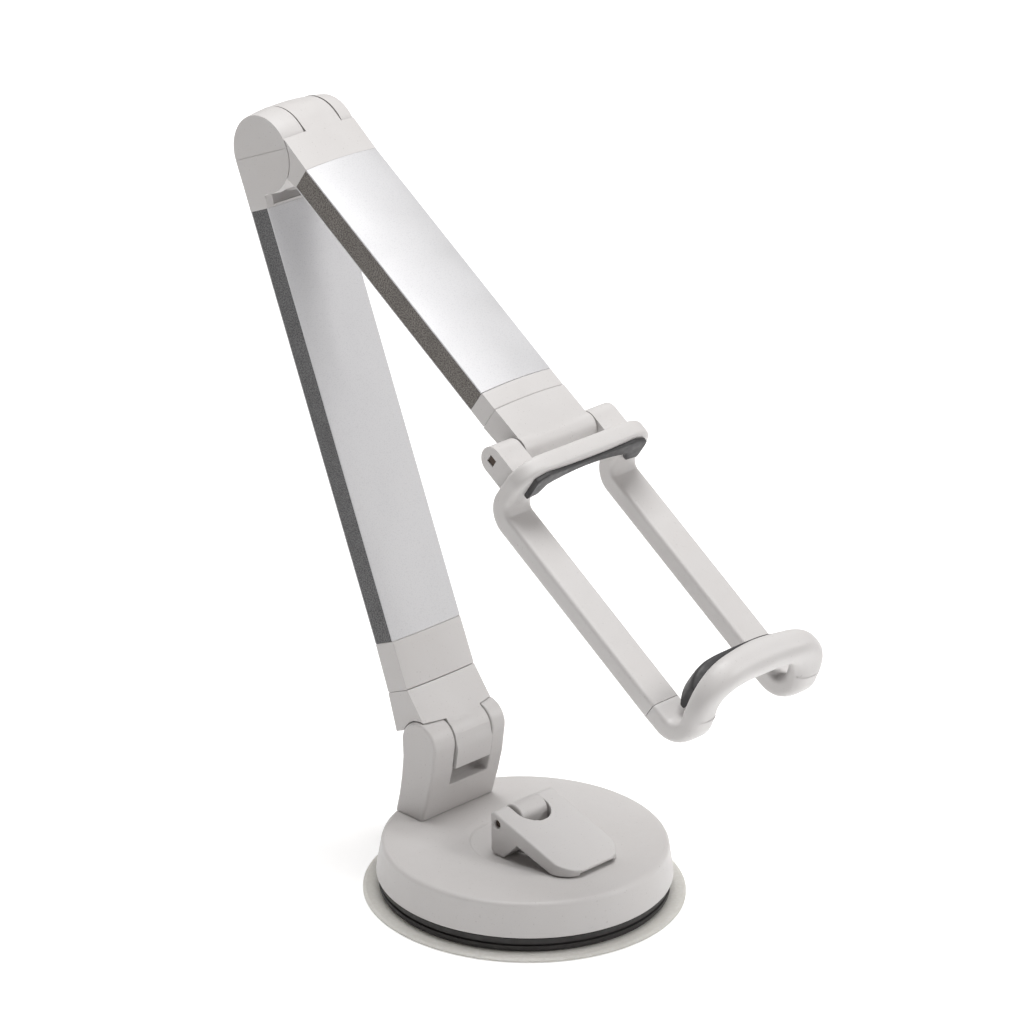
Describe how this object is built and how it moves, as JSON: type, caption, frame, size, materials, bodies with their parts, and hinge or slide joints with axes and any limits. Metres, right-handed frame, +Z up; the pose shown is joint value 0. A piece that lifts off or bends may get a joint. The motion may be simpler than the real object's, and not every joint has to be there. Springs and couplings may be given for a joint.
{
  "type": "phone stand",
  "caption": "Folding desk phone stand: suction base with cam lever, tilting and swivelling lower arm, elbow-hinged upper arm, and a tilting sprung clamp that grips a phone.",
  "frame": {"origin": "centre of the base's flat underside, on the table", "axes": "+Z up, -Y is the side the upper arm and clamp reach over and the lever points to, +Y is the side of the hinge bracket, X runs along the hinge axes"},
  "size_m": [0.0868, 0.189, 0.2],
  "materials": {
    "white_shell": "warm white moulded plastic with a slight gloss",
    "white_lever": "warm white moulded plastic, finely textured",
    "dark_rubber": "dark matte rubber",
    "clear_gel": "pale translucent tacky polymer with a fine texture",
    "grey_rubber": "dark grey soft rubber with a faint bluish sheen",
    "nylon": "natural nylon",
    "silver_plate": "satin silver, fine speckle",
    "grey_core": "dark grey speckled plastic",
    "brown_core": "dark brown-grey speckled plastic",
    "cover_strip": "light moulded plastic",
    "steel": "dark plated steel"
  },
  "bodies": {
    "base": {"gel_lip": "clear_gel", "suction_cup": "dark_rubber", "base_housing": "white_shell", "hinge_bracket": "white_shell", "bracket_screws": "steel", "base_hinge_bolt": "steel", "base_hinge_nut": "steel", "base_hinge_washers": "nylon"},
    "stem": {"suction_stem": "white_shell", "lever_pin": "steel"},
    "lever": {"lever": "white_lever"},
    "lower_knuckle": {"lower_knuckle": "white_shell", "lower_swivel_bolt": "steel"},
    "lower_arm": {"lower_collar": "white_shell", "lower_arm_core": "grey_core", "lower_front_plate": "silver_plate", "lower_rear_plate": "silver_plate", "elbow_clevis": "white_shell", "elbow_bolt": "steel", "elbow_nut": "steel", "elbow_washers": "nylon"},
    "upper_arm": {"elbow_tongue": "white_shell", "upper_arm_core": "brown_core", "upper_top_plate": "silver_plate", "upper_under_plate": "silver_plate", "upper_collar": "white_shell"},
    "head": {"head_knuckle": "white_shell", "head_swivel_bolt": "steel", "barrel_washer": "nylon"},
    "clamp": {"clamp_frame": "white_shell", "clamp_pin": "steel", "rail_covers": "cover_strip", "rail_cover_screws": "steel", "top_pad": "grey_rubber", "jaw_springs": "steel"},
    "jaw": {"jaw": "white_shell", "jaw_pad": "grey_rubber", "guide_rods": "steel"}
  },
  "joints": [
    {"name": "stem_lift", "type": "slide", "parent": "base", "child": "stem", "axis": [0, 0, 1], "range_m": [-0.00173, 0], "deforming": ["suction_cup"]},
    {"name": "lever_flip", "type": "hinge", "parent": "stem", "child": "lever", "pos_m": [0, 0, 0.0225], "axis": [-1, 0, 0], "range_deg": [0, 90]},
    {"name": "base_tilt", "type": "hinge", "parent": "base", "child": "lower_knuckle", "pos_m": [0, 0.0274, 0.0369], "axis": [1, 0, 0], "range_deg": [-18, 45]},
    {"name": "lower_swivel", "type": "hinge", "parent": "lower_knuckle", "child": "lower_arm", "pos_m": [0, 0.03601, 0.04983], "axis": [0, 0.4011, 0.916], "range_deg": [-90, 90]},
    {"name": "elbow_fold", "type": "hinge", "parent": "lower_arm", "child": "upper_arm", "pos_m": [0, 0.08905, 0.18839], "axis": [1, 0, 0], "range_deg": [-147, 12]},
    {"name": "head_swivel", "type": "hinge", "parent": "upper_arm", "child": "head", "pos_m": [0, 0.00325, 0.13862], "axis": [0, -0.832, -0.5548], "range_deg": [-90, 90]},
    {"name": "clamp_tilt", "type": "hinge", "parent": "head", "child": "clamp", "pos_m": [0, -0.00685, 0.13249], "axis": [1, 0, 0], "range_deg": [-75, 60]},
    {"name": "jaw_slide", "type": "slide", "parent": "clamp", "child": "jaw", "axis": [0, -0.832, -0.5548], "range_m": [0, 0.02], "stiffness_N_per_m": 250, "springref_m": -0.02, "deforming": ["jaw_springs"]}
  ],
  "couplings": [
    {"joint": "lever_flip", "follows": "stem_lift", "rad_per_m": -909.09}
  ]
}
